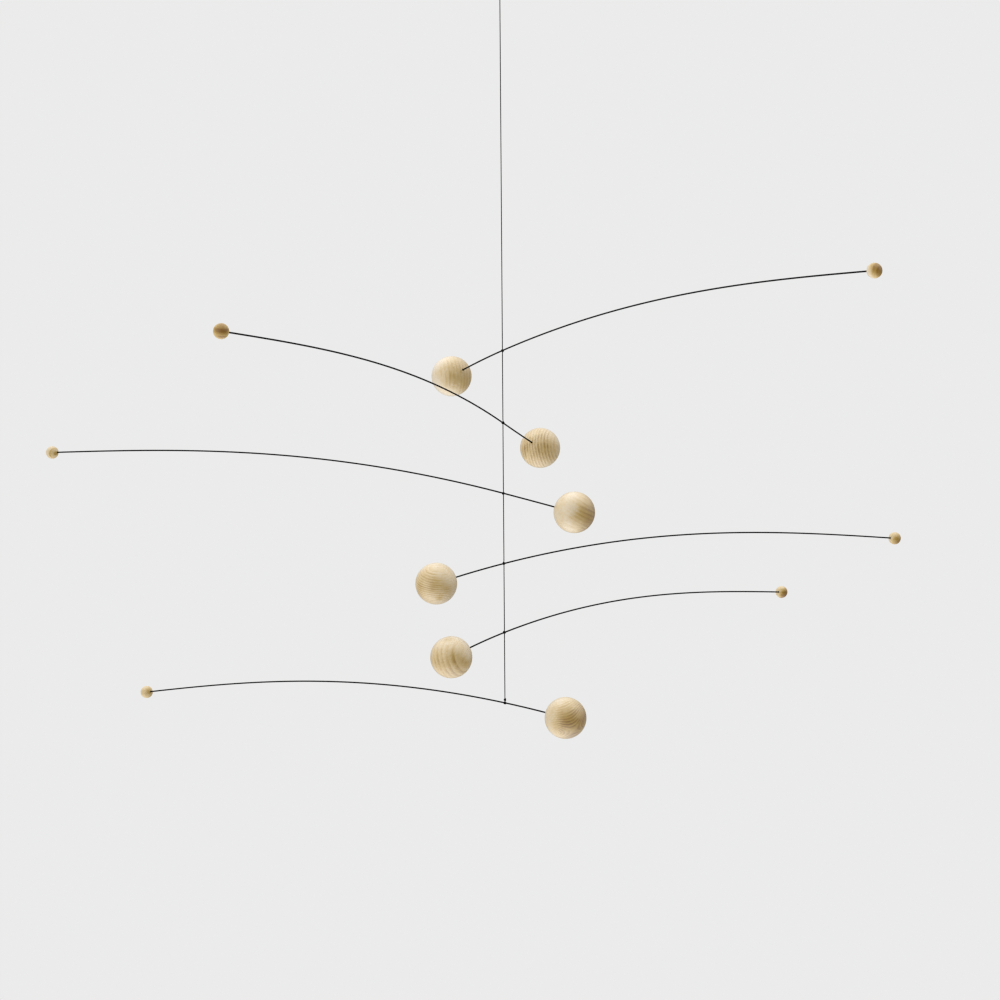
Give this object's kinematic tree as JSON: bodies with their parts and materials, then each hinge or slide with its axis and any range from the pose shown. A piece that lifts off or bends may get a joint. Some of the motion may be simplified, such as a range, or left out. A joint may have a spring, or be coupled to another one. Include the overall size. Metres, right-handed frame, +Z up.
{
  "type": "hanging mobile sculpture",
  "caption": "Hanging mobile of bowed black wire arms, each between a large and a small wooden ball, one above another on a thin plumb line with a loop at the top.",
  "frame": {"origin": "the point inside the top of the hanging loop where it bears on its hook", "axes": "+Z up along the hanging line, +X to the right as seen from the front, -Y towards a viewer in front"},
  "size_m": [0.9061, 0.8752, 0.7596],
  "materials": {
    "large_balls": "turned beech with a satin oil finish",
    "small_balls": "turned beech with a satin oil finish",
    "wire": "spring steel wire with a satin black finish",
    "thread": "twisted black thread"
  },
  "bodies": {
    "line": {"hanging_loop": "thread", "loop_knot": "thread", "line_1": "thread", "line_2": "thread", "line_3": "thread", "line_4": "thread", "line_5": "thread", "line_6": "thread", "end_knot": "thread"},
    "arm_1": {"hitch_1": "thread", "wire_arm_1": "wire", "large_ball_1": "large_balls", "small_ball_1": "small_balls"},
    "arm_2": {"hitch_2": "thread", "wire_arm_2": "wire", "large_ball_2": "large_balls", "small_ball_2": "small_balls"},
    "arm_3": {"hitch_3": "thread", "wire_arm_3": "wire", "large_ball_3": "large_balls", "small_ball_3": "small_balls"},
    "arm_4": {"hitch_4": "thread", "wire_arm_4": "wire", "large_ball_4": "large_balls", "small_ball_4": "small_balls"},
    "arm_5": {"hitch_5": "thread", "wire_arm_5": "wire", "large_ball_5": "large_balls", "small_ball_5": "small_balls"},
    "arm_6": {"hitch_6": "thread", "wire_arm_6": "wire", "large_ball_6": "large_balls", "small_ball_6": "small_balls"}
  },
  "joints": [
    {"name": "arm_1_turn", "type": "hinge", "parent": "line", "child": "arm_1", "pos_m": [0, 0, -0.385], "axis": [0, 0, 1], "continuous": true},
    {"name": "arm_2_turn", "type": "hinge", "parent": "line", "child": "arm_2", "pos_m": [0, 0, -0.4553], "axis": [0, 0, 1], "continuous": true},
    {"name": "arm_3_turn", "type": "hinge", "parent": "line", "child": "arm_3", "pos_m": [0, 0, -0.5238], "axis": [0, 0, 1], "continuous": true},
    {"name": "arm_4_turn", "type": "hinge", "parent": "line", "child": "arm_4", "pos_m": [0, 0, -0.5921], "axis": [0, 0, 1], "continuous": true},
    {"name": "arm_5_turn", "type": "hinge", "parent": "line", "child": "arm_5", "pos_m": [0, 0, -0.6591], "axis": [0, 0, 1], "continuous": true},
    {"name": "arm_6_turn", "type": "hinge", "parent": "line", "child": "arm_6", "pos_m": [0, 0, -0.7276], "axis": [0, 0, 1], "continuous": true}
  ]
}
